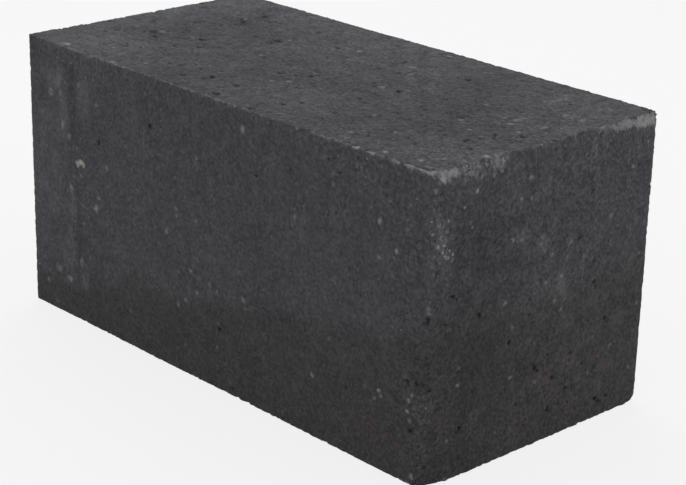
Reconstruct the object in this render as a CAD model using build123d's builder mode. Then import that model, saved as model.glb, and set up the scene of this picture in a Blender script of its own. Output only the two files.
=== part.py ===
from build123d import *
import os

# Block size: two ends side by side cover one long face
block_length = 300.0
block_width = 150.0
block_height = 150.0

# Arris radii left by the mould walls, the tamper head and the pallet
upright_arris = 2.2
top_arris = 1.0
bed_arris = 1.5

# Wear at the near top corner: back along the length, along the end's top edge, down the upright
near_top_back = 2.4
near_top_along = 78.0
near_top_down = 6.0

# Wear at the far top corner, measured the same way
far_top_back = 2.0
far_top_along = 44.0
far_top_down = 6.5

# Knock at the near bed corner: back along the length, along the end's bed edge, up the upright
near_bed_back = 6.0
near_bed_along = 18.0
near_bed_up = 46.0

# Knock at the far bed corner, measured the same way
far_bed_back = 2.4
far_bed_along = 11.0
far_bed_up = 4.0


def corner_facet(side_y, level, back, along, upright):
    """Plane across a corner of the +X end, meeting its three edges at the given reaches."""
    side_z = 1 if level > 0 else -1
    start = (block_length / 2 - back, side_y * block_width / 2, level)
    outward = (1 / back, side_y / along, side_z / upright)
    return Plane(origin=start, z_dir=outward)


# One cast piece: plan, height, arrises, then the worn corners of the +X end
with BuildPart() as wall_block:
    with BuildSketch():
        RectangleRounded(block_length, block_width, upright_arris)
    extrude(amount=block_height)
    fillet(wall_block.edges().group_by(Axis.Z)[-1], radius=top_arris)
    fillet(wall_block.edges().group_by(Axis.Z)[0], radius=bed_arris)
    near_top = corner_facet(-1, block_height, near_top_back, near_top_along, near_top_down)
    far_top = corner_facet(1, block_height, far_top_back, far_top_along, far_top_down)
    near_bed = corner_facet(-1, 0, near_bed_back, near_bed_along, near_bed_up)
    far_bed = corner_facet(1, 0, far_bed_back, far_bed_along, far_bed_up)
    for facet in (near_top, far_top, near_bed, far_bed):
        split(bisect_by=facet, keep=Keep.BOTTOM)

wall_block.part.label = "wall_block"

os.makedirs("parts", exist_ok=True)
export_step(wall_block.part, "parts/wall_block.step")
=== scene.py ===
"""Garden wall block of pressed anthracite concrete: relief, finish, floor, light and camera."""

import logging
import math
from dataclasses import dataclass
from enum import Enum
from functools import partial, reduce
from typing import Any

import bpy
from mathutils import Euler, Matrix, Vector


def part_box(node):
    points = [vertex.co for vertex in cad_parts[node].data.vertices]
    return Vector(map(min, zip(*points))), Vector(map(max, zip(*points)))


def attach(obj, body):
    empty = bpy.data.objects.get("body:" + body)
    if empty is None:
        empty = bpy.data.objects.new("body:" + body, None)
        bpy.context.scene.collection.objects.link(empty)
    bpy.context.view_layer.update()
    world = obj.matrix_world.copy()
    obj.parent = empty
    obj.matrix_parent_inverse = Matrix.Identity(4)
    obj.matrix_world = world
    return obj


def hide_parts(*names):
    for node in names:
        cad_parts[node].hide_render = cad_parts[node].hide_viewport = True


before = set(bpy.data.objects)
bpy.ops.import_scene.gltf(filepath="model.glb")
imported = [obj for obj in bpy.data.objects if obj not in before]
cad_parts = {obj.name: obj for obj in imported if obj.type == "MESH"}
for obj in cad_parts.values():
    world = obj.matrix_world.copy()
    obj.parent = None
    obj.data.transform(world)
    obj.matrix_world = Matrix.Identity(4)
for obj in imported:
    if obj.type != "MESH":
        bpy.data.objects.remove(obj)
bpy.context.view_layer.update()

log = logging.getLogger("wall_block")

MM = 0.001
LOW, HIGH = (Vector(corner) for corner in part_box("wall_block"))

# Least depth of a mark into its face, in mm
MARK_DEPTH = 1.5

# Mean height of strewn domes, and the middle of noise and of random numbers
DOME_MEAN = 0.38
MIDDLE = 0.5

Socket = bpy.types.NodeSocket
Sockets = bpy.types.bpy_prop_collection
Colour = tuple[float, float, float, float]
Point = tuple[float, float, float]
Passage = tuple[float, float]


class Side(Enum):
    """Faces of the block that carry marks of their own."""

    LONG = "long"
    END = "end"
    TOP = "top"

    def point(self, across: float, down: float) -> Vector:
        """Finds a spot on this face, seen square on.

        Args:
            across: Distance from the face's left edge, in mm.
            down: Distance from the face's upper edge, in mm.

        Returns:
            The spot in the block's frame, in metres.
        """
        across, down = across * MM, down * MM
        if self is Side.LONG:
            return Vector((LOW.x + across, LOW.y, HIGH.z - down))
        if self is Side.END:
            return Vector((HIGH.x, LOW.y + across, HIGH.z - down))
        return Vector((LOW.x + across, HIGH.y - down, HIGH.z))

    def reach(self, wide: float, high: float) -> Vector:
        """Lays a spot's half sizes along the frame's axes.

        Args:
            wide: Half width on the face, in mm.
            high: Half height on the face, in mm.

        Returns:
            Half sizes along X, Y and Z in metres, with the lesser one into the face.
        """
        deep = max(min(wide, high), MARK_DEPTH)
        if self is Side.LONG:
            return Vector((wide, deep, high)) * MM
        if self is Side.END:
            return Vector((deep, wide, high)) * MM
        return Vector((wide, high, deep)) * MM


class Sheet:
    """Adds nodes to one tree, with sockets or plain values as their inputs."""

    def __init__(self, tree: bpy.types.NodeTree) -> None:
        """Takes the tree to write on."""
        self.tree = tree

    def add(self, kind: str, inputs: dict[str | int, Any] | None = None, **settings: Any) -> bpy.types.Node:
        """Adds one node.

        Args:
            kind: The node's type name.
            inputs: Values or sockets for its inputs, by name or number.
            **settings: Properties of the node itself.

        Returns:
            The new node.
        """
        node = self.tree.nodes.new(kind)
        for name, value in settings.items():
            setattr(node, name, value)
        for key, value in (inputs or {}).items():
            if isinstance(value, Socket):
                self.tree.links.new(value, node.inputs[key])
            else:
                node.inputs[key].default_value = value
        return node

    def math(self, operation: str, *values: Any, clamp: bool = False) -> Socket:
        """Works out one sum of up to three numbers or sockets, kept between 0 and 1 if clamped."""
        inputs = dict(enumerate(values))
        return self.add("ShaderNodeMath", inputs, operation=operation, use_clamp=clamp).outputs[0]

    def product(self, *values: Any) -> Socket:
        """Multiplies numbers or sockets in turn."""
        return reduce(partial(self.math, "MULTIPLY"), values)

    def most(self, *values: Any) -> Socket:
        """Picks the greatest of several numbers or sockets."""
        return reduce(partial(self.math, "MAXIMUM"), values)

    def vector(self, operation: str, *values: Any) -> Socket:
        """Works out one sum of up to three vectors or sockets: a number for a length, else a vector."""
        node = self.add("ShaderNodeVectorMath", dict(enumerate(values)), operation=operation)
        return node.outputs["Value" if operation == "LENGTH" else "Vector"]

    def scaled(self, place: Socket, factor: Any) -> Socket:
        """Multiplies a vector or colour by a number."""
        inputs = {"Vector": place, "Scale": factor}
        return self.add("ShaderNodeVectorMath", inputs, operation="SCALE").outputs[0]

    def split(self, vector: Socket) -> Sockets:
        """Parts a vector into sockets of X, Y and Z."""
        return self.add("ShaderNodeSeparateXYZ", {0: vector}).outputs

    def fade(self, value: Any, start: Any, end: Any, low: Any = 0.0, high: Any = 1.0) -> Socket:
        """Passes smoothly from low to high while the value passes from start to end."""
        inputs = {"Value": value, "From Min": start, "From Max": end, "To Min": low, "To Max": high}
        return self.add("ShaderNodeMapRange", inputs, interpolation_type="SMOOTHSTEP").outputs[0]

    def grains(self, place: Socket, gap: float) -> tuple[Socket, Socket, Socket]:
        """Strews points at random, about one for each cube as wide as the gap.

        Args:
            place: Where they are read, in metres.
            gap: Mean distance of the points, in metres.

        Returns:
            Distance to the nearest point in metres, and two random numbers of that point.
        """
        cell = self.add("ShaderNodeTexVoronoi", {"Vector": place, "Scale": 1 / gap})
        chances = self.split(cell.outputs["Color"])
        return self.math("MULTIPLY", cell.outputs["Distance"], gap), chances[0], chances[1]

    def dome(self, distance: Socket, rise: Socket, gap: float) -> Socket:
        """Rounds each of the strewn points into a low dome.

        Args:
            distance: Distance to the nearest point, in metres.
            rise: Height of that point's dome, from 0 to 1.
            gap: Mean distance of the points, in metres.

        Returns:
            Height of the domes, about 0 on the whole.
        """
        ratio = self.math("MULTIPLY", distance, 1 / gap)
        crown = self.math("SUBTRACT", 1.0, self.math("MULTIPLY", ratio, ratio))
        return self.math("MULTIPLY_ADD", crown, rise, -DOME_MEAN)

    def blend(self, factor: Any, first: Any, second: Any) -> Socket:
        """Mixes two colours or their sockets, by the second one's share."""
        # Inputs 6 and 7 and output 2 of a mix node are its colours
        node = self.add("ShaderNodeMix", {0: factor, 6: first, 7: second}, data_type="RGBA")
        return node.outputs[2]


@dataclass(frozen=True)
class Cloud:
    """Cloudy noise: the width of its clouds in metres, its finer layers and the strength of each."""

    size: float
    detail: float = 2.0
    rough: float = 0.5

    def draw(self, sheet: Sheet, place: Socket) -> Socket:
        """Draws noise from 0 to 1, mostly near 0.5."""
        inputs = {"Vector": place, "Scale": 1 / self.size, "Detail": self.detail, "Roughness": self.rough}
        return sheet.add("ShaderNodeTexNoise", inputs).outputs[0]


@dataclass(frozen=True)
class Bend:
    """Bends in the lines of what is drawn: their length and how far they reach, in metres."""

    length: float
    reach: float
    detail: float = 2.0

    def draw(self, sheet: Sheet, place: Socket) -> Socket:
        """Bends the place at which something is read.

        Args:
            sheet: Where the nodes go.
            place: The place, in metres.

        Returns:
            The bent place.
        """
        inputs = {"Vector": place, "Scale": 1 / self.length, "Detail": self.detail}
        way = sheet.add("ShaderNodeTexNoise", inputs).outputs["Color"]
        back = sheet.vector("SUBTRACT", place, (self.reach,) * 3)
        return sheet.vector("MULTIPLY_ADD", way, (2 * self.reach,) * 3, back)


@dataclass(frozen=True)
class Dots:
    """Small dots of all strengths strewn at random: their distance, share, largest radius and shift."""

    gap: float
    share: float
    radius: float
    shift: Point = (0.0, 0.0, 0.0)
    least: float = 0.4
    core: float = 0.4

    def draw(self, sheet: Sheet, place: Socket) -> Socket:
        """Draws the dots.

        Args:
            sheet: Where the nodes go.
            place: Where they are read, in metres.

        Returns:
            Up to 1 inside the dots, 0 outside.
        """
        distance, chance, width = sheet.grains(sheet.vector("ADD", place, self.shift), self.gap)
        wide = sheet.math("MULTIPLY_ADD", width, 1 - self.least, self.least)
        edge = sheet.math("MULTIPLY", wide, self.radius)
        dot = sheet.fade(distance, edge, sheet.math("MULTIPLY", edge, self.core))
        strength = sheet.math("MULTIPLY_ADD", chance, -1 / self.share, 1.0, clamp=True)
        return sheet.math("MULTIPLY", dot, strength)


@dataclass(frozen=True)
class Ground:
    """What relief and colour are read from: a place in metres, and how it is marked there, by name."""

    sheet: Sheet
    place: Socket
    marks: dict[str, Socket]


@dataclass(frozen=True)
class Share:
    """How much of something there is: anywhere, and more or less on rough, open and flat ground."""

    anywhere: float
    rough: float = 0.0
    open: float = 0.0
    flat: float = 0.0

    def draw(self, ground: Ground) -> Any:
        """Adds up the shares.

        Args:
            ground: What they are read from.

        Returns:
            The whole: a socket, or a number where it is the same everywhere.
        """
        whole: Any = self.anywhere
        for name, share in (("rough", self.rough), ("open", self.open), ("flat", self.flat)):
            if share:
                whole = ground.sheet.math("MULTIPLY_ADD", ground.marks[name], share, whole)
        return whole


@dataclass(frozen=True)
class Spot:
    """One mark on a face: its middle and half sizes in mm, and how strong it is."""

    side: Side
    across: float
    down: float
    wide: float
    high: float
    strength: float = 1.0

    def draw(self, sheet: Sheet, place: Socket, core: float) -> Socket:
        """Draws the mark as a number that fades out from its middle.

        Args:
            sheet: Where the nodes go.
            place: Where it is read, in metres.
            core: Share of the half size that keeps full strength.

        Returns:
            The mark's socket, from 0 to its strength.
        """
        half = self.side.reach(self.wide, self.high)
        centre = self.side.point(self.across, self.down)
        inverse = Vector(1 / size for size in half)
        shift = Vector(-c * i for c, i in zip(centre, inverse))
        offset = sheet.vector("LENGTH", sheet.vector("MULTIPLY_ADD", place, inverse, shift))
        return sheet.fade(offset, 1.0, core, 0.0, self.strength)


class Marks:
    """Marks of one kind, and the share of each half size that keeps full strength."""

    def __init__(self, *spots: Spot, core: float) -> None:
        """Takes the marks and the share."""
        self.spots = spots
        self.core = core

    def draw(self, sheet: Sheet, place: Socket) -> Socket:
        """Draws the marks, of which the strongest shows where they meet."""
        return sheet.most(*(spot.draw(sheet, place, self.core) for spot in self.spots))


# Larger pits of lost grains
PITS = Marks(
    Spot(Side.LONG, 104, 26, 1.5, 1.3),
    Spot(Side.LONG, 61, 45, 1.3, 1.6),
    Spot(Side.LONG, 108, 68, 1.3, 1.3),
    Spot(Side.LONG, 158, 117, 1.8, 1.6),
    Spot(Side.LONG, 290.4, 123, 1.8, 1.6),
    Spot(Side.LONG, 292.4, 121.6, 1.1, 1.5),
    Spot(Side.LONG, 288.4, 99.6, 1.5, 1.2),
    Spot(Side.LONG, 294, 99, 1.3, 1.8),
    Spot(Side.LONG, 297.6, 98.4, 1.9, 1.7),
    Spot(Side.LONG, 299, 68, 2.2, 3.0),
    Spot(Side.END, 15, 59.5, 2.0, 1.2),
    Spot(Side.END, 17.2, 61.4, 1.2, 1.6),
    Spot(Side.END, 10.4, 72, 1.8, 1.3),
    Spot(Side.END, 13, 75.8, 1.1, 1.4),
    Spot(Side.END, 32, 73, 1.4, 1.6),
    Spot(Side.END, 98, 52, 2.0, 1.3),
    Spot(Side.END, 111, 77, 1.3, 1.7),
    Spot(Side.END, 112.4, 79.4, 1.1, 1.1),
    Spot(Side.END, 53, 92, 2.2, 1.2),
    Spot(Side.END, 66, 81.4, 1.4, 1.3),
    Spot(Side.END, 121, 97.6, 1.8, 1.4),
    Spot(Side.END, 122.6, 99.6, 1.4, 1.2),
    Spot(Side.END, 72, 110, 1.4, 1.8),
    Spot(Side.END, 74, 111.6, 1.2, 1.0),
    Spot(Side.END, 70.6, 107.6, 1.1, 1.2),
    Spot(Side.END, 97, 109, 1.1, 1.6),
    Spot(Side.END, 97, 113, 1.1, 1.1),
    Spot(Side.END, 85, 118.4, 1.3, 1.7),
    Spot(Side.END, 115.5, 121, 1.1, 1.4),
    Spot(Side.END, 60.5, 125, 1.2, 1.3),
    Spot(Side.END, 22.6, 125.4, 1.4, 1.7),
    Spot(Side.END, 21, 127, 1.1, 1.2),
    Spot(Side.END, 83, 134, 1.2, 1.5),
    Spot(Side.END, 95, 127, 1.7, 1.1),
    Spot(Side.END, 118, 139.4, 1.8, 1.3),
    Spot(Side.END, 121, 141.4, 1.6, 1.4),
    Spot(Side.END, 126, 140, 1.3, 1.1),
    Spot(Side.END, 2, 130.5, 1.3, 1.7),
    Spot(Side.END, 2.4, 101, 1.7, 1.1),
    Spot(Side.END, 9, 0.2, 1.8, 1.3),
    Spot(Side.END, 17.5, 1.6, 1.5, 1.4),
    Spot(Side.END, 30.4, 0.4, 2.4, 1.5),
    Spot(Side.END, 47.5, 0.2, 1.6, 1.3),
    Spot(Side.TOP, 92, 56, 3.6, 2.6),
    Spot(Side.TOP, 65, 85, 3.4, 2.6),
    Spot(Side.TOP, 36, 95, 3.4, 2.4),
    Spot(Side.TOP, 45, 101, 3.0, 2.2),
    Spot(Side.TOP, 77, 96, 2.6, 2.2),
    Spot(Side.TOP, 48, 27, 3.2, 2.6),
    Spot(Side.TOP, 49, 44, 3.0, 2.4),
    Spot(Side.TOP, 140, 96, 3.0, 2.4),
    Spot(Side.TOP, 148, 144, 3.2, 2.2),
    Spot(Side.TOP, 178, 147, 2.8, 2.2),
    Spot(Side.TOP, 182, 131, 2.0, 1.8),
    Spot(Side.TOP, 200, 73, 2.2, 1.8),
    Spot(Side.TOP, 224, 65, 1.8, 1.6),
    Spot(Side.TOP, 207, 32, 2.4, 2.0),
    Spot(Side.TOP, 207, 122, 2.4, 1.8),
    Spot(Side.TOP, 99, 126, 2.2, 1.8),
    Spot(Side.TOP, 125, 127, 2.4, 1.8),
    Spot(Side.TOP, 145, 128, 2.2, 1.8),
    Spot(Side.TOP, 287, 81, 2.6, 2.0),
    core=0.4,
)

# Pale grains and crumbs of dust
FLECKS = Marks(
    Spot(Side.LONG, 20, 27, 3.2, 3.6, 0.55),
    Spot(Side.LONG, 28, 26, 2.8, 3.2, 0.38),
    Spot(Side.LONG, 30, 43, 2.6, 4.4, 0.42),
    Spot(Side.LONG, 36, 76, 2.6, 3.6, 0.42),
    Spot(Side.LONG, 58, 82, 3.0, 3.2, 0.55),
    Spot(Side.LONG, 44, 116, 2.4, 4.2, 0.50),
    Spot(Side.LONG, 33, 128, 3.0, 3.0, 0.50),
    Spot(Side.LONG, 23, 125, 5.0, 3.4, 0.34),
    Spot(Side.LONG, 175, 11, 2.8, 3.0, 0.55),
    Spot(Side.LONG, 268, 30, 2.0, 2.1, 0.80),
    Spot(Side.LONG, 279, 41, 1.8, 2.0, 0.65),
    Spot(Side.LONG, 117, 78, 2.0, 2.0, 0.45),
    Spot(Side.LONG, 136, 93, 1.8, 2.0, 0.45),
    Spot(Side.LONG, 141, 103, 2.0, 2.0, 0.45),
    Spot(Side.LONG, 126, 114, 2.0, 2.2, 0.50),
    Spot(Side.LONG, 176, 96, 2.4, 2.4, 0.35),
    Spot(Side.LONG, 226, 118, 2.0, 2.2, 0.50),
    Spot(Side.LONG, 270.6, 110.2, 1.6, 1.7, 0.85),
    Spot(Side.LONG, 272.2, 112.4, 1.5, 1.3, 0.40),
    Spot(Side.LONG, 268, 115, 1.6, 1.3, 0.45),
    Spot(Side.LONG, 289.6, 108.2, 1.5, 1.6, 0.85),
    Spot(Side.LONG, 289, 114, 1.5, 1.7, 0.70),
    Spot(Side.LONG, 290.6, 118, 1.5, 1.4, 0.40),
    Spot(Side.LONG, 291.6, 105.4, 1.2, 2.0, 0.50),
    Spot(Side.LONG, 293, 145, 2.2, 1.8, 0.60),
    Spot(Side.LONG, 290.6, 148.4, 1.6, 1.3, 0.60),
    Spot(Side.LONG, 287, 149, 1.4, 1.2, 0.45),
    Spot(Side.LONG, 299, 63, 1.8, 2.8, 0.80),
    Spot(Side.LONG, 42.2, 61.2, 3.0, 2.6, 1.2),
    Spot(Side.LONG, 35.5, 48, 2.6, 3.4, 0.34),
    Spot(Side.LONG, 46, 93, 1.8, 1.6, 0.40),
    Spot(Side.LONG, 13, 135, 2.0, 1.6, 0.40),
    Spot(Side.END, 15, 148.6, 1.8, 1.5, 0.50),
    Spot(Side.END, 20.5, 149, 1.5, 1.2, 0.45),
    Spot(Side.END, 56, 23.4, 2.0, 1.5, 0.50),
    Spot(Side.END, 61.5, 14.4, 1.8, 1.7, 0.60),
    Spot(Side.END, 27, 13.7, 1.8, 1.3, 1.2),
    Spot(Side.END, 19.5, 19.5, 1.2, 1.0, 0.70),
    Spot(Side.END, 25, 30, 1.2, 1.0, 0.55),
    Spot(Side.END, 20, 0.9, 3.0, 2.0, 1.8),
    Spot(Side.END, 4, 34, 2.0, 1.5, 1.0),
    Spot(Side.END, 7.6, 34, 1.4, 1.2, 1.2),
    Spot(Side.END, 11, 37, 1.5, 1.2, 1.1),
    Spot(Side.END, 8.4, 39, 1.3, 1.1, 1.1),
    Spot(Side.END, 13, 39.4, 1.3, 1.2, 1.0),
    Spot(Side.END, 9, 28, 1.2, 1.4, 0.60),
    Spot(Side.END, 10, 23.6, 1.3, 1.2, 0.55),
    Spot(Side.END, 5, 41.6, 1.4, 1.1, 0.60),
    Spot(Side.END, 6.5, 37, 1.7, 1.5, 0.80),
    Spot(Side.END, 8.5, 32, 1.7, 1.6, 0.50),
    Spot(Side.END, 10, 40, 1.7, 1.4, 0.80),
    Spot(Side.END, 5, 30, 1.5, 1.5, 0.50),
    Spot(Side.END, 3, 24, 1.6, 1.7, 0.45),
    Spot(Side.END, 13, 42, 1.5, 1.3, 0.45),
    Spot(Side.END, 7, 25, 1.5, 1.4, 0.40),
    Spot(Side.END, 23.4, 4.8, 2.0, 1.7, 0.62),
    Spot(Side.END, 22.3, 1.6, 1.4, 1.2, 0.50),
    Spot(Side.END, 28.2, 2.8, 2.2, 1.4, 0.62),
    Spot(Side.END, 29.4, 7.6, 1.4, 1.4, 0.66),
    Spot(Side.END, 19.6, 6.8, 1.2, 1.5, 0.45),
    Spot(Side.END, 33, 0.2, 2.8, 1.6, 1.2),
    Spot(Side.END, 32.4, 2.4, 1.0, 2.4, 0.60),
    Spot(Side.END, 35.4, 2.0, 1.0, 3.0, 0.55),
    Spot(Side.END, 38.4, 2.4, 1.7, 1.4, 0.55),
    Spot(Side.END, 42.8, 2.6, 1.8, 3.2, 1.0),
    Spot(Side.END, 41.2, 5.6, 2.0, 1.6, 0.55),
    Spot(Side.END, 45.6, 1.0, 1.2, 2.6, 0.60),
    Spot(Side.END, 42.6, 7.6, 1.3, 1.4, 0.50),
    Spot(Side.END, 37, 8, 1.2, 2.0, 0.38),
    Spot(Side.END, 1.4, 8.4, 1.8, 1.4, 0.50),
    Spot(Side.END, 54, 0.2, 2.0, 1.2, 0.45),
    Spot(Side.END, 90.5, 0.8, 1.1, 2.4, 0.55),
    Spot(Side.END, 117, 1.4, 1.5, 1.2, 0.70),
    Spot(Side.END, 123, 1.6, 1.8, 1.2, 0.75),
    Spot(Side.END, 130.5, 2.2, 1.8, 1.4, 0.85),
    Spot(Side.END, 137, 2.6, 2.0, 1.4, 0.90),
    Spot(Side.END, 142, 3.4, 2.2, 1.6, 1.0),
    Spot(Side.END, 146.4, 3.0, 2.6, 2.0, 1.2),
    Spot(Side.END, 52, 42, 1.6, 1.4, 0.50),
    Spot(Side.END, 13, 75, 2.0, 2.0, 0.40),
    Spot(Side.END, 20, 103, 2.0, 1.4, 0.50),
    Spot(Side.END, 58, 43.4, 2.0, 2.0, 0.48),
    Spot(Side.END, 71, 48, 2.0, 2.2, 0.42),
    Spot(Side.END, 74, 52, 1.8, 1.8, 0.38),
    Spot(Side.END, 63, 24.5, 1.3, 1.1, 0.40),
    Spot(Side.END, 92, 52.4, 2.4, 1.6, 0.48),
    Spot(Side.END, 87, 67.5, 1.8, 2.2, 0.50),
    Spot(Side.END, 89, 73, 1.7, 2.0, 0.40),
    Spot(Side.END, 85, 71, 1.7, 1.8, 0.36),
    Spot(Side.END, 83, 79, 1.9, 1.5, 0.44),
    Spot(Side.END, 88, 84.5, 1.7, 1.9, 0.38),
    Spot(Side.END, 55, 110, 2.5, 1.5, 0.40),
    Spot(Side.TOP, 134, 37, 2.6, 2.2, 0.45),
    Spot(Side.TOP, 173, 37, 2.6, 2.2, 0.55),
    Spot(Side.TOP, 182, 47, 2.4, 2.2, 0.45),
    Spot(Side.TOP, 203, 15, 2.4, 2.0, 0.45),
    Spot(Side.TOP, 109, 82, 2.2, 1.8, 0.40),
    Spot(Side.TOP, 151, 83, 2.4, 1.8, 0.42),
    Spot(Side.TOP, 190, 75, 3.0, 2.4, 0.36),
    Spot(Side.TOP, 39, 91, 3.0, 2.4, 0.50),
    Spot(Side.TOP, 30, 146, 4.6, 2.4, 0.90),
    Spot(Side.TOP, 50, 131, 2.8, 2.4, 0.50),
    Spot(Side.TOP, 85, 137, 2.2, 1.8, 0.40),
    Spot(Side.TOP, 242, 57, 2.4, 2.0, 0.40),
    Spot(Side.TOP, 268, 64, 2.6, 5.0, 0.36),
    Spot(Side.TOP, 277, 40, 2.4, 2.0, 0.46),
    Spot(Side.TOP, 287, 40, 2.4, 2.0, 0.48),
    Spot(Side.TOP, 282, 78, 2.6, 2.0, 0.52),
    Spot(Side.TOP, 252, 84, 2.2, 2.0, 0.50),
    Spot(Side.TOP, 239, 144, 2.2, 1.8, 0.50),
    Spot(Side.TOP, 247, 121, 2.2, 1.8, 0.42),
    Spot(Side.TOP, 268, 59, 2.4, 2.4, 0.42),
    Spot(Side.TOP, 262, 66, 2.4, 2.2, 0.40),
    Spot(Side.TOP, 270, 70, 2.8, 2.2, 0.46),
    Spot(Side.TOP, 265, 92, 2.4, 2.0, 0.42),
    Spot(Side.TOP, 283, 141, 2.4, 2.0, 0.75),
    Spot(Side.TOP, 265, 145, 2.4, 2.0, 0.60),
    Spot(Side.TOP, 291, 145, 2.6, 2.0, 0.60),
    Spot(Side.TOP, 297, 115, 2.6, 2.6, 0.75),
    Spot(Side.TOP, 295, 127, 2.2, 2.0, 0.55),
    Spot(Side.TOP, 287, 132, 2.2, 2.0, 0.55),
    Spot(Side.TOP, 234, 137, 2.6, 2.0, 0.50),
    Spot(Side.TOP, 154, 103, 3.0, 2.4, 0.50),
    Spot(Side.TOP, 284, 63, 2.4, 4.4, 0.40),
    Spot(Side.TOP, 170, 7, 2.6, 2.2, 0.50),
    Spot(Side.TOP, 142, 52, 2.4, 2.2, 0.45),
    Spot(Side.TOP, 95, 50, 2.2, 2.0, 0.45),
    Spot(Side.TOP, 72, 148, 3.0, 2.0, 0.60),
    core=0.15,
)

# Edges and corners that are rubbed pale, and a painted highlight along the long face's top arris
SCUFFS_AND_ARRIS_HIGHLIGHTS = Marks(
    # Painted highlight: the next eight spots paint the bright line along the long face's top arris
    Spot(Side.LONG, 293, 0.5, 9, 1.6, 0.82),
    Spot(Side.LONG, 284.5, 0.5, 4.5, 1.7, 0.82),
    Spot(Side.LONG, 276.5, 0.5, 4.5, 1.6, 0.70),
    Spot(Side.LONG, 267, 0.5, 3.4, 1.5, 0.60),
    Spot(Side.LONG, 261, 0.5, 4, 1.6, 0.86),
    Spot(Side.LONG, 238, 0.4, 30, 1.5, 0.50),
    Spot(Side.LONG, 150, 0.4, 80, 1.3, 0.50),
    Spot(Side.LONG, 60, 0.4, 60, 1.4, 0.54),
    Spot(Side.LONG, 300, 36, 3.5, 50, 0.26),
    Spot(Side.LONG, 298, 122, 6, 34, 0.26),
    Spot(Side.LONG, 35.5, 110, 4.5, 27, 0.24),
    Spot(Side.LONG, 37, 84, 3.4, 22, 0.26),
    Spot(Side.LONG, 34, 50, 3.0, 22, 0.20),
    Spot(Side.END, 7.4, 2.8, 7.0, 5.4, 0.76),
    Spot(Side.END, 6.6, 3.6, 3.0, 2.4, 1.1),
    Spot(Side.END, 13.4, 1.6, 5.8, 3.6, 1.0),
    Spot(Side.END, 24, 3, 10, 6, 0.56),
    Spot(Side.END, 40, 3, 10, 7, 0.50),
    Spot(Side.END, 70, 0, 24, 2.4, 0.34),
    Spot(Side.END, 112, 1.2, 10, 2.8, 0.56),
    Spot(Side.END, 126, 2.4, 14, 3.8, 0.74),
    Spot(Side.END, 140, 3.2, 11, 4.8, 0.92),
    Spot(Side.END, 148, 4, 4.5, 6, 0.80),
    Spot(Side.END, 7, 35, 8, 11, 0.36),
    Spot(Side.END, 4.5, 25, 5, 7, 0.36),
    Spot(Side.TOP, 298.3, 148.5, 2.8, 4.5, 1.0),
    Spot(Side.TOP, 270, 64, 20, 22, 0.12),
    Spot(Side.TOP, 296, 75, 6, 70, 0.24),
    Spot(Side.TOP, 282, 134, 20, 18, 0.22),
    core=0.45,
)

# Pale smears and lighter ground
SMEARS = Marks(
    Spot(Side.LONG, 14, 66, 38, 84, 0.16),
    Spot(Side.LONG, 18.5, 18, 10, 10, 0.40),
    Spot(Side.LONG, 27.5, 18.5, 9, 11, 0.42),
    Spot(Side.LONG, 31, 36, 4.5, 30, 0.36),
    Spot(Side.LONG, 35, 112, 6.0, 26, 0.25),
    Spot(Side.LONG, 37, 86, 4.0, 22, 0.26),
    Spot(Side.LONG, 33.5, 66, 3.0, 14, 0.20),
    Spot(Side.LONG, 30, 116, 9, 16, 0.30),
    Spot(Side.LONG, 47, 126, 6, 8, 0.38),
    Spot(Side.LONG, 49, 24, 9, 16, 0.28),
    Spot(Side.LONG, 300, 44, 4.0, 60, 0.16),
    Spot(Side.END, 75, 0, 110, 36, 0.11),
    Spot(Side.END, 150, 40, 60, 70, 0.07),
    Spot(Side.END, 142, 128, 34, 30, 0.06),
    Spot(Side.END, 72, 49, 7, 8, 0.30),
    Spot(Side.END, 88, 73, 7, 15, 0.30),
    Spot(Side.END, 57, 42, 6, 5, 0.24),
    Spot(Side.END, 92, 52, 6, 4, 0.24),
    Spot(Side.END, 57, 22, 4, 8, 0.26),
    Spot(Side.END, 113, 82, 7, 9, 0.16),
    Spot(Side.END, 130, 100, 10, 6, 0.18),
    Spot(Side.TOP, 258, 22, 4, 24, 0.30),
    Spot(Side.TOP, 280, 10, 60, 34, 0.14),
    Spot(Side.TOP, 36, 132, 60, 32, 0.26),
    Spot(Side.TOP, 150, 0, 220, 40, 0.13),
    Spot(Side.TOP, 0, 60, 44, 100, 0.20),
    core=0.1,
)

# Darker stains
STAINS = Marks(
    Spot(Side.LONG, 39, 13, 7.0, 15, 0.34),
    Spot(Side.LONG, 40, 36, 5.0, 22, 0.26),
    Spot(Side.LONG, 42, 110, 2.4, 34, 0.52),
    Spot(Side.LONG, 40.6, 72, 2.2, 18, 0.34),
    Spot(Side.LONG, 16, 7, 24, 7, 0.30),
    Spot(Side.LONG, 190, 97, 14, 11, 0.20),
    Spot(Side.END, 28, 62, 44, 50, 0.32),
    Spot(Side.END, 34, 116, 60, 38, 0.14),
    Spot(Side.END, 26, 18, 14, 18, 0.22),
    Spot(Side.TOP, 255, 104, 80, 40, 0.10),
    Spot(Side.TOP, 120, 92, 120, 30, 0.22),
    Spot(Side.TOP, 42, 97, 9, 7, 0.48),
    Spot(Side.TOP, 51, 31, 7, 5, 0.44),
    Spot(Side.TOP, 50, 44, 6, 6, 0.40),
    Spot(Side.TOP, 112, 112, 7, 5, 0.22),
    Spot(Side.TOP, 287, 82, 6, 5, 0.26),
    core=0.1,
)

# Rougher ground, with more pits and specks
ROUGHS = Marks(
    Spot(Side.LONG, 38, 80, 26, 90, 0.6),
    Spot(Side.LONG, 300, 100, 34, 70, 0.7),
    Spot(Side.END, 0, 25, 34, 40, 1.0),
    Spot(Side.END, 85, 65, 50, 44, 0.6),
    Spot(Side.END, 75, 140, 90, 50, 0.4),
    Spot(Side.TOP, 300, 75, 70, 130, 1.0),
    Spot(Side.TOP, 270, 150, 60, 30, 0.7),
    Spot(Side.TOP, 30, 130, 60, 50, 0.5),
    core=0.1,
)

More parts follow.
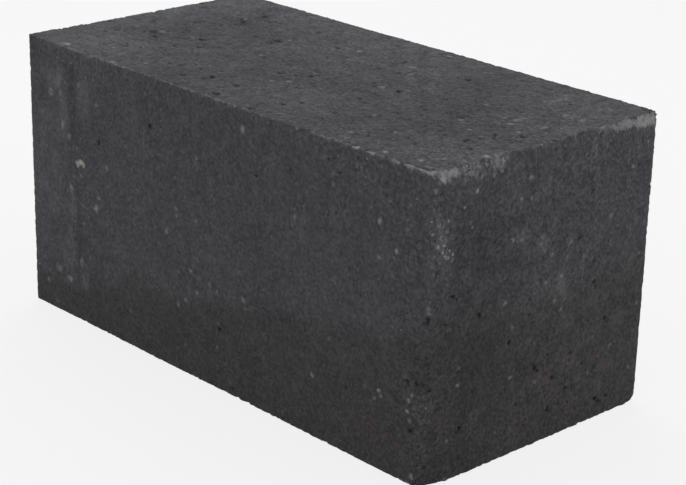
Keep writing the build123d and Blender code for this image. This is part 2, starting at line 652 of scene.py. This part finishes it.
# Tan pebbles
PEBBLES = Marks(
    Spot(Side.LONG, 45.4, 59.8, 3.1, 2.2),
    Spot(Side.LONG, 47.6, 60.6, 2.0, 2.0, 0.8),
    Spot(Side.TOP, 251.5, 149.6, 2.6, 1.8, 0.9),
    core=0.3,
)


@dataclass(frozen=True)
class Grid(Ground):
    """The grid before it is pressed: the tree's sizes, and where its points lie and face."""

    size: Sockets
    position: Socket
    normal: Socket
    coords: Sockets
    turns: Sockets


@dataclass(frozen=True)
class OpenGrain:
    """Slow waves, grain and small knobs, in metres: coarsest on the tamped top and the bed."""

    wave: Cloud = Cloud(0.07, 1.0)
    wave_depth: float = 0.0005
    flat_sink: float = 0.0002
    grain: Cloud = Cloud(0.0036, 3.0, 0.65)
    knob_gap: float = 0.0028
    knob_bend: Bend = Bend(0.003, 0.0008)

    def draw(self, grid: Grid) -> Socket:
        """Sinks the faces by their grain.

        Args:
            grid: What it is read from.

        Returns:
            Depth in metres, below 0 where the face stands out.
        """
        sheet, place, size, flat = grid.sheet, grid.place, grid.size, grid.marks["flat"]
        wave = sheet.math("MULTIPLY_ADD", self.wave.draw(sheet, place), self.wave_depth, -self.wave_depth / 2)
        lower = sheet.math("MULTIPLY_ADD", flat, self.flat_sink, wave)
        # Inputs 2 and 3 of a mix node are its numbers
        depth = sheet.add("ShaderNodeMix", {0: flat, 2: size["Side grain"], 3: size["Flat grain"]}).outputs[0]
        grain = sheet.math("SUBTRACT", self.grain.draw(sheet, place), MIDDLE)
        sunk = sheet.math("MULTIPLY_ADD", grain, depth, lower)
        distance, rise, _ = sheet.grains(self.knob_bend.draw(sheet, place), self.knob_gap)
        knob = sheet.dome(distance, rise, self.knob_gap)
        return sheet.math("SUBTRACT", sunk, sheet.product(knob, grid.marks["open"], size["Knob depth"]))


@dataclass(frozen=True)
class Hollows:
    """Shallow hollows between the grains, most of them on the open faces."""

    cloud: Cloud = Cloud(0.0065)
    passage: Passage = (0.54, 0.74)
    share: Share = Share(0.08, open=0.6)

    def draw(self, grid: Grid) -> Socket:
        """Draws the hollows as a depth from 0 to 1."""
        hollow = grid.sheet.fade(self.cloud.draw(grid.sheet, grid.place), *self.passage)
        return grid.sheet.product(hollow, self.share.draw(grid))


@dataclass(frozen=True)
class LostGrains:
    """Pits of lost grains with uneven rims: coarse and fine ones at random, and those listed one by one."""

    bend: Bend = Bend(0.0024, 0.0012)
    coarse_gap: float = 0.0080
    coarse_share: Share = Share(0.06, rough=0.12, flat=0.46)
    fine_gap: float = 0.0036
    fine_share: Share = Share(0.10, rough=0.16, open=0.36)
    fine_radius: float = 0.6
    fine_depth: float = 0.6
    least_radius: float = 0.5
    rim: Cloud = Cloud(0.0022)
    rim_passage: Passage = (0.32, 0.50)

    def strewn(self, grid: Grid, place: Socket, gap: float, share: Share, radius: Socket) -> Socket:
        """Strews round pits at random.

        Args:
            grid: What they are read from.
            place: Where they are read, in metres.
            gap: Mean distance of the points that may hold a pit, in metres.
            share: Share of those points that do.
            radius: Mean radius of a pit.

        Returns:
            Depth of the pits from 0 to 1.
        """
        sheet = grid.sheet
        distance, chance, width = sheet.grains(place, gap)
        wide = sheet.product(radius, sheet.math("ADD", width, self.least_radius))
        ratio = sheet.math("DIVIDE", distance, wide)
        bowl = sheet.math("SUBTRACT", 1.0, sheet.product(ratio, ratio), clamp=True)
        return sheet.product(bowl, sheet.math("LESS_THAN", chance, share.draw(grid)))

    def draw(self, grid: Grid) -> Socket:
        """Draws all the pits.

        Args:
            grid: What they are read from.

        Returns:
            Depth of the pits from 0 to 1.
        """
        sheet, radius = grid.sheet, grid.size["Pit radius"]
        uneven = self.bend.draw(sheet, grid.place)
        coarse = self.strewn(grid, uneven, self.coarse_gap, self.coarse_share, radius)
        lesser = sheet.product(radius, self.fine_radius)
        fine = self.strewn(grid, uneven, self.fine_gap, self.fine_share, lesser)
        marked = PITS.draw(sheet, self.bend.draw(sheet, grid.position))
        broken = sheet.fade(self.rim.draw(sheet, grid.place), *self.rim_passage)
        return sheet.most(coarse, sheet.product(fine, self.fine_depth), sheet.product(marked, broken))


@dataclass(frozen=True)
class CrumbledArris:
    """Crumbled arrises in uneven stretches: more at the bed, and most on the top edges of both ends.

    The bed, end and top passages are distances from the bed, the ends and the top, in metres.
    """

    ragged: Cloud = Cloud(0.0034, 3.0, 0.6)
    ragged_passage: Passage = (0.44, 0.76)
    stretch: Cloud = Cloud(0.022, 1.0)
    stretch_passage: Passage = (0.40, 0.62)
    stretch_least: float = 0.3
    bed: Passage = (0.010, 0.004)
    end: Passage = (0.008, 0.002)
    top: Passage = (0.012, 0.003)
    everywhere: float = 0.55
    more_on_ends: float = 0.9
    more_at_bed: float = 0.3

    def distance(self, grid: Grid) -> Socket:
        """Measures how far each point lies from the nearest arris.

        Args:
            grid: What it is read from.

        Returns:
            The middle one of a point's three distances to the faces.
        """
        sheet, coords = grid.sheet, grid.coords
        gap_x = sheet.math("SUBTRACT", HIGH.x, sheet.math("ABSOLUTE", coords[0]))
        gap_y = sheet.math("SUBTRACT", HIGH.y, sheet.math("ABSOLUTE", coords[1]))
        gap_z = sheet.math("MINIMUM", coords[2], sheet.math("SUBTRACT", HIGH.z, coords[2]))
        lesser = sheet.math("MINIMUM", gap_x, gap_y)
        greater = sheet.math("MAXIMUM", gap_x, gap_y)
        return sheet.math("MAXIMUM", lesser, sheet.math("MINIMUM", greater, gap_z))

    def draw(self, grid: Grid) -> Socket:
        """Draws the crumbling.

        Args:
            grid: What it is read from.

        Returns:
            Its depth, about 0 to 1.
        """
        sheet, coords = grid.sheet, grid.coords
        near = sheet.fade(self.distance(grid), grid.size["Crumble width"], 0.0)
        ragged = sheet.fade(self.ragged.draw(sheet, grid.place), *self.ragged_passage)
        cloud = self.stretch.draw(sheet, grid.place)
        stretch = sheet.fade(cloud, *self.stretch_passage, self.stretch_least, 1.0)
        ends = sheet.fade(sheet.math("ABSOLUTE", coords[0]), *(HIGH.x - gap for gap in self.end))
        tops = sheet.fade(coords[2], *(HIGH.z - gap for gap in self.top))
        keen = sheet.math("MULTIPLY_ADD", sheet.product(ends, tops), self.more_on_ends, self.everywhere)
        keen = sheet.math("MULTIPLY_ADD", sheet.fade(coords[2], *self.bed), self.more_at_bed, keen)
        return sheet.product(near, ragged, sheet.product(stretch, keen))


@dataclass(frozen=True)
class DragLine:
    """Shallow groove down the long face, in metres.

    The foot is measured from the bed, the head from the top, and the face is told by its normal's Y.
    """

    across: float = 0.0355
    sway: Cloud = Cloud(0.025)
    sway_width: float = 0.008
    width: Passage = (0.0018, 0.0002)
    face: Passage = (-0.7, -0.9)
    foot: Passage = (0.018, 0.030)
    head: Passage = (0.002, 0.010)

    def draw(self, grid: Grid) -> Socket:
        """Draws the groove.

        Args:
            grid: What it is read from.

        Returns:
            Its depth from 0 to 1.
        """
        sheet, coords = grid.sheet, grid.coords
        cloud = self.sway.draw(sheet, grid.place)
        middle = sheet.math("MULTIPLY_ADD", cloud, self.sway_width, LOW.x + self.across)
        beside = sheet.math("ABSOLUTE", sheet.math("SUBTRACT", coords[0], middle))
        line = sheet.product(sheet.fade(beside, *self.width), sheet.fade(grid.turns[1], *self.face))
        head = sheet.fade(coords[2], *(HIGH.z - gap for gap in self.head))
        return sheet.product(line, sheet.product(sheet.fade(coords[2], *self.foot), head))


@dataclass(frozen=True)
class PressedRelief:
    """Relief of pressed concrete, in metres, and how finely it is laid over the solid.

    A face counts as flat, or as an end, once its normal has turned far enough to Z, or to X.
    """

    spacing: float = 0.0006
    triangles: int = 190_000
    side_grain: float = 0.00026
    flat_grain: float = 0.00050
    knob_depth: float = 0.00042
    hollow_depth: float = 0.0008
    pit_radius: float = 0.0012
    pit_depth: float = 0.0013
    crumble_depth: float = 0.0013
    crumble_width: float = 0.0040
    groove_depth: float = 0.0005
    seed: int = 7
    seed_step: float = 0.731
    turned: Passage = (0.6, 0.85)
    open_ends: float = 0.55
    painted_hollow_shade: float = 0.35
    grain: OpenGrain = OpenGrain()
    hollows: Hollows = Hollows()
    pits: LostGrains = LostGrains()
    arris: CrumbledArris = CrumbledArris()
    line: DragLine = DragLine()

    def inputs(self) -> dict[str, float | int]:
        """Lists the sizes that the tree takes.

        Returns:
            Values of the tree's inputs, by name.
        """
        return {
            "Grid spacing": self.spacing,
            "Side grain": self.side_grain,
            "Flat grain": self.flat_grain,
            "Knob depth": self.knob_depth,
            "Hollow depth": self.hollow_depth,
            "Pit radius": self.pit_radius,
            "Pit depth": self.pit_depth,
            "Crumble depth": self.crumble_depth,
            "Crumble width": self.crumble_width,
            "Groove depth": self.groove_depth,
            "Seed": self.seed,
        }

    def laid(self, sheet: Sheet, size: Sockets) -> Socket:
        """Lays a fine even grid over the solid.

        Args:
            sheet: Where the nodes go.
            size: The tree's inputs.

        Returns:
            The grid's geometry, with every point on the solid's surface.
        """
        inputs: dict[str | int, Any] = {"Size": HIGH - LOW}
        for axis, length in zip("XYZ", HIGH - LOW):
            steps = sheet.math("DIVIDE", length, size["Grid spacing"])
            inputs[f"Vertices {axis}"] = sheet.math("ADD", steps, 1.0)
        box = sheet.add("GeometryNodeMeshCube", inputs).outputs[0]
        lift = {"Geometry": box, "Offset": (LOW + HIGH) / 2}
        raised = sheet.add("GeometryNodeSetPosition", lift).outputs[0]
        near = sheet.add("GeometryNodeProximity", {0: size["Geometry"]}, target_element="FACES").outputs[0]
        return sheet.add("GeometryNodeSetPosition", {"Geometry": raised, "Position": near}).outputs[0]

    def points(self, sheet: Sheet, size: Sockets) -> Grid:
        """Reads the grid's points and tells their faces apart.

        Args:
            sheet: Where the nodes go.
            size: The tree's inputs.

        Returns:
            The grid, marked as open most on the top and the bed, less on the ends, not on the long sides.
        """
        position = sheet.add("GeometryNodeInputPosition").outputs[0]
        normal = sheet.add("GeometryNodeInputNormal").outputs[0]
        seeded = sheet.product(size["Seed"], self.seed_step)
        shift = sheet.add("ShaderNodeCombineXYZ", {0: seeded, 1: seeded}).outputs[0]
        turns = sheet.split(normal)
        flat = sheet.fade(sheet.math("ABSOLUTE", turns[2]), *self.turned)
        end = sheet.fade(sheet.math("ABSOLUTE", turns[0]), *self.turned)
        marks = {
            "flat": flat,
            "open": sheet.math("MULTIPLY_ADD", end, self.open_ends, flat),
            "rough": ROUGHS.draw(sheet, position),
        }
        return Grid(
            sheet=sheet,
            place=sheet.vector("ADD", position, shift),
            marks=marks,
            size=size,
            position=position,
            normal=normal,
            coords=sheet.split(position),
            turns=turns,
        )

    def pressed(self, grid: Grid, geometry: Socket) -> Socket:
        """Sinks the grid by its relief and keeps the marks that the finish reads.

        Args:
            grid: What the relief is read from.
            geometry: The grid's geometry.

        Returns:
            The pressed block's geometry.
        """
        sheet = grid.sheet
        hollow, pit, crumble = (part.draw(grid) for part in (self.hollows, self.pits, self.arris))
        depths = {
            "Hollow depth": hollow,
            "Pit depth": pit,
            "Crumble depth": crumble,
            "Groove depth": self.line.draw(grid),
        }
        sunk = self.grain.draw(grid)
        for name, share in depths.items():
            sunk = sheet.math("MULTIPLY_ADD", share, grid.size[name], sunk)
        kept = {
            # Painted shade: the pits and part of the hollows are kept for the finish to darken
            "pit": sheet.math("MULTIPLY_ADD", hollow, self.painted_hollow_shade, pit, clamp=True),
            "worn": crumble,
            "open": grid.marks["open"],
            "rough": grid.marks["rough"],
            "scuff_and_highlight": SCUFFS_AND_ARRIS_HIGHLIGHTS.draw(sheet, grid.position),
            "smear": SMEARS.draw(sheet, grid.position),
            "stain": STAINS.draw(sheet, grid.position),
        }
        for name, value in kept.items():
            store = {"Geometry": geometry, "Name": name, "Value": value}
            geometry = sheet.add("GeometryNodeStoreNamedAttribute", store).outputs[0]

        # Nothing reaches below the bed, and to the sides the limit lies well outside the block
        limit = (2 * LOW.x, 2 * LOW.y, LOW.z)
        inner = sheet.vector("SUBTRACT", grid.position, sheet.scaled(grid.normal, sunk))
        moved = {"Geometry": geometry, "Position": sheet.vector("MAXIMUM", inner, limit)}
        return sheet.add("GeometryNodeSetPosition", moved).outputs[0]

    def tree(self) -> bpy.types.NodeTree:
        """Builds the node tree that turns the plain solid into the pressed block.

        Returns:
            The tree, with named inputs for its sizes.
        """
        tree = bpy.data.node_groups.new("pressed_relief", "GeometryNodeTree")
        tree.interface.new_socket("Geometry", in_out="INPUT", socket_type="NodeSocketGeometry")
        for name, value in self.inputs().items():
            kind = "NodeSocketInt" if isinstance(value, int) else "NodeSocketFloat"
            tree.interface.new_socket(name, in_out="INPUT", socket_type=kind).default_value = value
        tree.interface.new_socket("Finish", in_out="INPUT", socket_type="NodeSocketMaterial")
        tree.interface.new_socket("Geometry", in_out="OUTPUT", socket_type="NodeSocketGeometry")
        sheet = Sheet(tree)
        size = sheet.add("NodeGroupInput").outputs
        pressed = self.pressed(self.points(sheet, size), self.laid(sheet, size))
        whole = sheet.add("GeometryNodeRealizeInstances", {0: pressed}).outputs[0]
        coat = {"Geometry": whole, "Material": size["Finish"]}
        sheet.add("NodeGroupOutput", {0: sheet.add("GeometryNodeSetMaterial", coat).outputs[0]})
        return tree


@dataclass(frozen=True)
class Mottle:
    """Tone of the concrete from broad clouds down to sand grains, and how far each of them swings."""

    cloud: Cloud = Cloud(0.045)
    cloud_swing: Share = Share(0.34, open=0.60)
    mottle: Cloud = Cloud(0.009, 2.0, 0.6)
    mottle_swing: Share = Share(0.52, open=0.30)
    fine: Cloud = Cloud(0.0018, 2.0, 0.8)
    fine_swing: Share = Share(1.36, rough=0.50, open=0.28)
    sand_gap: float = 0.0014
    sand_bend: Bend = Bend(0.0014, 0.0004)
    sand_swing: Share = Share(0.46, rough=0.20, open=0.16)
    sand_height: float = 0.8
    streak: Cloud = Cloud(0.003)
    streak_squeeze: Point = (1.0, 1.0, 0.06)
    streak_swing: Share = Share(0.12, open=-0.12)

    def draw(self, ground: Ground) -> tuple[Socket, Socket]:
        """Draws the tone.

        Args:
            ground: What it is read from.

        Returns:
            Tone, about 1, and the fine relief that goes with it.
        """
        sheet, place = ground.sheet, ground.place
        fine = self.fine.draw(sheet, place)
        distance, sand, _ = sheet.grains(self.sand_bend.draw(sheet, place), self.sand_gap)
        drawn = self.streak.draw(sheet, sheet.vector("MULTIPLY", place, self.streak_squeeze))
        streak = sheet.product(sheet.math("SUBTRACT", drawn, MIDDLE), self.streak_swing.draw(ground))
        tone = sheet.math("ADD", streak, 1.0)
        parts = (
            (self.cloud.draw(sheet, place), self.cloud_swing),
            (self.mottle.draw(sheet, place), self.mottle_swing),
            (fine, self.fine_swing),
            (sand, self.sand_swing),
        )
        for part, swing in parts:
            change = sheet.product(sheet.math("SUBTRACT", part, MIDDLE), swing.draw(ground))
            tone = sheet.math("MULTIPLY_ADD", tone, change, tone)
        domes = sheet.dome(distance, sand, self.sand_gap)
        return tone, sheet.math("MULTIPLY_ADD", domes, self.sand_height, fine)


@dataclass(frozen=True)
class DarkerFoot:
    """Colour of the block: darker and warmer at its foot, below a wavy line that climbs along the length.

    The line's height is the one at mid length, and earth is where the earthy colour sets in below it.
    """

    grey: Colour = (0.0740, 0.0740, 0.0796, 1.0)
    darker_grey: Colour = (0.0572, 0.0563, 0.0570, 1.0)
    earthy: Colour = (0.0575, 0.0540, 0.0545, 1.0)
    height: float = 0.045
    climb: float = 0.185
    waves: Cloud = Cloud(0.04, 4.0, 0.6)
    wave_height: float = 0.034
    soft: Share = Share(0.005, open=0.030)
    earth: Passage = (-0.012, -0.042)

    def draw(self, ground: Ground) -> Socket:
        """Draws the colour.

        Args:
            ground: What it is read from.

        Returns:
            The colour before any mottling.
        """
        sheet, coords = ground.sheet, ground.sheet.split(ground.place)
        rise = sheet.math("MULTIPLY_ADD", coords[0], self.climb, self.height)
        waves = self.waves.draw(sheet, ground.place)
        wavy = sheet.math("MULTIPLY_ADD", waves, self.wave_height, -self.wave_height / 2)
        above = sheet.math("SUBTRACT", coords[2], sheet.math("ADD", rise, wavy))
        soft = self.soft.draw(ground)
        foot = sheet.fade(above, soft, sheet.product(soft, -1.0))
        colour = sheet.blend(foot, self.grey, self.darker_grey)
        return sheet.blend(sheet.fade(above, *self.earth), colour, self.earthy)


@dataclass(frozen=True)
class PaleDustAndHighlights:
    """Pale dust on rubbed edges, in smears and as single grains and crumbs, with a painted highlight along
    the long face's top arris.

    Patches and crumbs of the ground hold the dust off, and an edge turns pale where its wear, its scuffs and
    the painted arris highlight beat that hold.
    """

    colour: Colour = (0.360, 0.360, 0.368, 1.0)
    squeeze: Point = (1.0, 1.0, 0.75)
    patches: Cloud = Cloud(0.0030, 4.0, 0.7)
    crumb_gap: float = 0.0014
    patch_hold: float = 0.9
    crumb_hold: float = 0.55
    hold_start: float = -0.30
    worn_share: float = 0.45
    rub: Passage = (-0.35, 0.50)
    least_pale: float = 0.52
    pale_span: float = 0.80
    smear: Cloud = Cloud(0.006, 3.0, 0.65)
    smear_squeeze: Point = (1.0, 1.0, 0.5)
    smear_passage: Passage = (0.25, 0.75)
    most_smeared: float = 0.8
    fleck_bend: Bend = Bend(0.0030, 0.0012)
    fleck_passage: Passage = (0.30, 0.50)
    least_fleck: float = 0.15
    fleck_base: float = 0.68
    fleck_crumb: float = 0.60
    sparks: Dots = Dots(gap=0.0013, share=0.60, radius=0.0008)
    spark_gain: float = 1.9

    def rubbed_and_highlit(self, ground: Ground, patchy: Socket, crumb: Socket, pale: Socket) -> Socket:
        """Rubs worn and scuffed edges pale and paints the highlight along the long face's top arris, least
        where the ground holds the dust off.

        Args:
            ground: What it is read from.
            patchy: Patches in the dust.
            crumb: How well each crumb of ground holds the dust off.
            pale: How pale each crumb is.

        Returns:
            Share of dust from 0 to 1.
        """
        sheet, marks = ground.sheet, ground.marks
        hold = sheet.math("MULTIPLY_ADD", patchy, self.patch_hold, self.hold_start)
        hold = sheet.math("MULTIPLY_ADD", crumb, self.crumb_hold, hold)
        edge = sheet.math("MULTIPLY_ADD", marks["worn"], self.worn_share, marks["scuff_and_highlight"])
        rubbed_and_highlit = sheet.fade(sheet.math("SUBTRACT", edge, hold), *self.rub)
        paler = sheet.math("MULTIPLY_ADD", pale, self.pale_span, self.least_pale, clamp=True)
        return sheet.product(rubbed_and_highlit, sheet.math("MINIMUM", edge, 1.0), paler)

    def draw(self, ground: Ground) -> Socket:
        """Lays all the dust.

        Args:
            ground: What it is read from.

        Returns:
            Share of dust from 0 to 1.
        """
        sheet, place, marks = ground.sheet, ground.place, ground.marks
        streaky = sheet.vector("MULTIPLY", place, self.squeeze)
        patchy = self.patches.draw(sheet, streaky)
        _, crumb, pale = sheet.grains(streaky, self.crumb_gap)
        rubbed_and_highlit = self.rubbed_and_highlit(ground, patchy, crumb, pale)
        drawn = self.smear.draw(sheet, sheet.vector("MULTIPLY", place, self.smear_squeeze))
        smears = sheet.product(marks["smear"], sheet.fade(drawn, *self.smear_passage, 0.0, self.most_smeared))
        flecks = FLECKS.draw(sheet, self.fleck_bend.draw(sheet, place))
        broken = sheet.fade(patchy, *self.fleck_passage, self.least_fleck, 1.0)
        varied = sheet.math("MULTIPLY_ADD", crumb, self.fleck_crumb, self.fleck_base)
        # Pale sparks in the scuffs and in the painted arris highlight
        sparks = sheet.product(self.sparks.draw(sheet, place), marks["scuff_and_highlight"])
        sparks = sheet.math("MULTIPLY", sparks, self.spark_gain, clamp=True)
        return sheet.most(rubbed_and_highlit, sheet.product(flecks, broken, varied), sparks, smears)


@dataclass(frozen=True)
class AnthraciteConcrete:
    """Dark through-coloured concrete: matt and open-grained, with specks, stains and dust, painted shade in
    its pits, hollows and small holes, and a painted highlight along the long face's top arris.
    """

    mottle: Mottle = Mottle()
    foot: DarkerFoot = DarkerFoot()
    dust_and_highlights: PaleDustAndHighlights = PaleDustAndHighlights()
    pebble: Colour = (0.440, 0.400, 0.345, 1.0)
    bend: Bend = Bend(0.0015, 0.0006)
    holes: Dots = Dots(gap=0.0029, share=0.50, radius=0.0009)
    painted_hole_shade: float = -0.9
    hole_depth: float = 1.2
    specks: Dots = Dots(gap=0.0031, share=0.40, radius=0.0008, shift=(0.31, 0.17, 0.23))
    speck_share: Share = Share(0.9, rough=1.1)
    speck_shade: float = 1.4
    pale_grains: Dots = Dots(gap=0.0080, share=0.55, radius=0.0019, shift=(0.53, 0.41, 0.37))
    pale_shade: float = 1.1
    stain: Cloud = Cloud(0.012, 3.0)
    stain_passage: Passage = (0.25, 0.65)
    stain_shade: float = -1.0
    painted_pit_shade: float = -0.8
    roughness: float = 0.92
    shine: float = 0.30
    bump: float = 0.00055

    def colour(self, ground: Ground) -> tuple[Socket, Socket]:
        """Colours the concrete.

        Args:
            ground: What it is read from.

        Returns:
            The colour, and the height of the fine relief that goes with it.
        """
        sheet, place, marks = ground.sheet, ground.place, ground.marks
        uneven = self.bend.draw(sheet, place)
        tone, relief = self.mottle.draw(ground)
        holes = self.holes.draw(sheet, uneven)
        specks = sheet.product(self.specks.draw(sheet, uneven), self.speck_share.draw(ground))
        blotch = sheet.fade(self.stain.draw(sheet, place), *self.stain_passage)
        # Painted shade darkens the holes, pits and hollows; stains, specks and pale grains are the concrete's
        # own
        shades = (
            (holes, self.painted_hole_shade),
            (marks["pit"], self.painted_pit_shade),
            (sheet.product(marks["stain"], blotch), self.stain_shade),
            (specks, self.speck_shade),
            (self.pale_grains.draw(sheet, uneven), self.pale_shade),
        )
        for mark, shade in shades:
            tone = sheet.product(tone, sheet.math("MULTIPLY_ADD", mark, shade, 1.0))
        colour = sheet.scaled(self.foot.draw(ground), tone)
        # Pale dust, with the painted highlight along the long face's top arris
        colour = sheet.blend(self.dust_and_highlights.draw(Ground(sheet, uneven, marks)), colour, self.dust_and_highlights.colour)
        colour = sheet.blend(PEBBLES.draw(sheet, uneven), colour, self.pebble)
        return colour, sheet.math("MULTIPLY_ADD", holes, -self.hole_depth, relief)

    def make(self) -> bpy.types.Material:
        """Builds the material.

        Returns:
            The finished material.
        """
        material = bpy.data.materials.new("anthracite_concrete")
        material.use_nodes = True
        material.node_tree.nodes.clear()
        sheet = Sheet(material.node_tree)
        place = sheet.add("ShaderNodeTexCoord").outputs["Object"]
        marks = {
            name: sheet.add("ShaderNodeAttribute", attribute_name=name).outputs["Fac"]
            for name in ("pit", "worn", "open", "rough", "scuff_and_highlight", "smear", "stain")
        }
        colour, height = self.colour(Ground(sheet, place, marks))
        bump = sheet.add("ShaderNodeBump", {"Strength": 1.0, "Distance": self.bump, "Height": height})
        inputs = {
            "Base Color": colour,
            "Roughness": self.roughness,
            "Specular IOR Level": self.shine,
            "Normal": bump.outputs[0],
        }
        surface = sheet.add("ShaderNodeBsdfPrincipled", inputs)
        sheet.add("ShaderNodeOutputMaterial", {"Surface": surface.outputs[0]})
        return material


@dataclass
class WallBlock:
    """The block itself: one pressed piece."""

    relief: PressedRelief = PressedRelief()
    finish: AnthraciteConcrete = AnthraciteConcrete()

    def build(self) -> bpy.types.Object:
        """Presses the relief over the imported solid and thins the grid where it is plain.

        Returns:
            The block as one closed mesh at the origin.
        """
        plain = bpy.data.objects.new("block_grid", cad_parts["wall_block"].data.copy())
        bpy.context.scene.collection.objects.link(plain)
        tree = self.relief.tree()
        pressed = plain.modifiers.new("pressed_relief", "NODES")
        pressed.node_group = tree
        sockets = {item.name: item.identifier for item in tree.interface.items_tree if item.in_out == "INPUT"}
        for name, value in self.relief.inputs().items():
            pressed[sockets[name]] = value
        pressed[sockets["Finish"]] = self.finish.make()
        dense = self.evaluated(plain, "block_dense")
        thin = plain.modifiers.new("thin", "DECIMATE")
        thin.ratio = self.relief.triangles / sum(len(face.vertices) - 2 for face in dense.polygons)
        thin.use_collapse_triangulate = True
        mesh = self.evaluated(plain, "pressed_block")
        bpy.data.objects.remove(plain)
        bpy.data.meshes.remove(dense)
        mesh.shade_smooth()
        block = bpy.data.objects.new("pressed_block", mesh)
        bpy.context.scene.collection.objects.link(block)
        return block

    def evaluated(self, piece: bpy.types.Object, name: str) -> bpy.types.Mesh:
        """Makes a plain mesh of a piece with its modifiers.

        Args:
            piece: The object to read.
            name: Name of the new mesh.

        Returns:
            The mesh.
        """
        graph = bpy.context.evaluated_depsgraph_get()
        mesh = bpy.data.meshes.new_from_object(piece.evaluated_get(graph), depsgraph=graph)
        mesh.name = name
        return mesh

    def place(self, block: bpy.types.Object) -> None:
        """Sets the block on its body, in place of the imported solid.

        Args:
            block: The block's mesh object.
        """
        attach(block, "root")
        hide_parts("wall_block")


@dataclass(frozen=True)
class Viewpoint:
    """Where the camera stands and how it looks, in metres, degrees and mm of lens and sensor."""

    place: Point = (0.6851, -0.6341, 0.4052)
    turn: float = 46.552
    tilt: float = 20.370
    roll: float = 1.446
    lens: float = 101.75
    sensor: float = 36.0
    nearest: float = 0.01

    def build(self) -> None:
        """Adds the camera and makes it the scene's own."""
        data = bpy.data.cameras.new("camera")
        data.lens = self.lens
        data.sensor_width = self.sensor
        data.clip_start = self.nearest
        camera = bpy.data.objects.new("camera", data)
        level = Euler((math.radians(90 - self.tilt), 0, math.radians(self.turn))).to_matrix()
        rolled = level @ Matrix.Rotation(math.radians(self.roll), 3, "Z")
        camera.matrix_world = Matrix.Translation(self.place) @ rolled.to_4x4()
        bpy.context.scene.collection.objects.link(camera)
        bpy.context.scene.camera = camera


@dataclass(frozen=True)
class Lamp:
    """One soft box: its place, size and aim in metres, and its power in watts."""

    name: str
    place: Point
    size: float
    power: float
    aim: Point = (0.0, 0.0, 0.07)

    def build(self) -> None:
        """Adds the lamp, facing the block."""
        data = bpy.data.lights.new(self.name, "AREA")
        data.shape = "DISK"
        data.size = self.size
        data.energy = self.power
        lamp = bpy.data.objects.new(self.name, data)
        lamp.location = self.place
        lamp.rotation_euler = (Vector(self.place) - Vector(self.aim)).to_track_quat("Z", "Y").to_euler()
        bpy.context.scene.collection.objects.link(lamp)


@dataclass(frozen=True)
class Studio:
    """Pale floor, white surroundings and soft light."""

    floor_size: float = 12.0
    floor_grey: float = 0.80
    floor_white: float = 0.82
    sky: float = 0.61
    lamps: tuple[Lamp, ...] = (
        Lamp("left_box", (-0.5, 0.35, 0.95), size=0.9, power=3.5),
        Lamp("right_box", (0.75, 0.75, 0.55), size=0.5, power=1.2),
        Lamp("front_box", (0.2, -1.5, 0.9), size=1.0, power=1.8),
    )

    def seen(self, sheet: Sheet) -> Socket:
        """Gives 1 for rays that see the surroundings, and 0 for those that only light the block."""
        path = sheet.add("ShaderNodeLightPath").outputs
        return sheet.most(path["Is Glossy Ray"], path["Is Transmission Ray"], path["Is Camera Ray"])

    def floor_finish(self) -> bpy.types.Material:
        """Makes the floor white to the camera but for the block's shadow.

        Returns:
            The floor's material.
        """
        material = bpy.data.materials.new("pale_floor")
        material.use_nodes = True
        material.node_tree.nodes.clear()
        sheet = Sheet(material.node_tree)
        matt = sheet.add("ShaderNodeBsdfDiffuse", {"Color": (self.floor_grey,) * 3 + (1.0,)})
        white = sheet.add("ShaderNodeEmission", {"Strength": 1.0})
        share = sheet.product(self.seen(sheet), self.floor_white)
        both = sheet.add("ShaderNodeMixShader", {0: share, 1: matt.outputs[0], 2: white.outputs[0]})
        sheet.add("ShaderNodeOutputMaterial", {"Surface": both.outputs[0]})
        return material

    def floor(self) -> bpy.types.Object:
        """Lays the floor.

        Returns:
            The floor.
        """
        half = self.floor_size / 2
        corners = [(-half, -half, 0), (half, -half, 0), (half, half, 0), (-half, half, 0)]
        mesh = bpy.data.meshes.new("floor")
        mesh.from_pydata(corners, [], [(0, 1, 2, 3)])
        mesh.materials.append(self.floor_finish())
        floor = bpy.data.objects.new("floor", mesh)
        bpy.context.scene.collection.objects.link(floor)
        return floor

    def world(self) -> None:
        """Surrounds the scene with white that lights it softly."""
        world = bpy.data.worlds.new("surroundings")
        world.use_nodes = True
        world.node_tree.nodes.clear()
        sheet = Sheet(world.node_tree)
        strength = sheet.fade(self.seen(sheet), 0.0, 1.0, self.sky, 1.0)
        light = sheet.add("ShaderNodeBackground", {"Strength": strength})
        sheet.add("ShaderNodeOutputWorld", {"Surface": light.outputs[0]})
        bpy.context.scene.world = world

    def build(self) -> bpy.types.Object:
        """Builds the surroundings.

        Returns:
            The floor.
        """
        bpy.context.scene.view_settings.view_transform = "Standard"
        self.world()
        for lamp in self.lamps:
            lamp.build()
        return self.floor()


def main() -> None:
    """Builds the camera, the studio and the block, and logs the block's triangles."""
    logging.basicConfig(level=logging.INFO, format="%(name)s: %(message)s")
    Viewpoint().build()
    Studio().build()
    wall_block = WallBlock()
    block = wall_block.build()
    wall_block.place(block)
    log.info("%s: %d triangles", block.name, len(block.data.polygons))


if __name__ == "__main__":
    main()
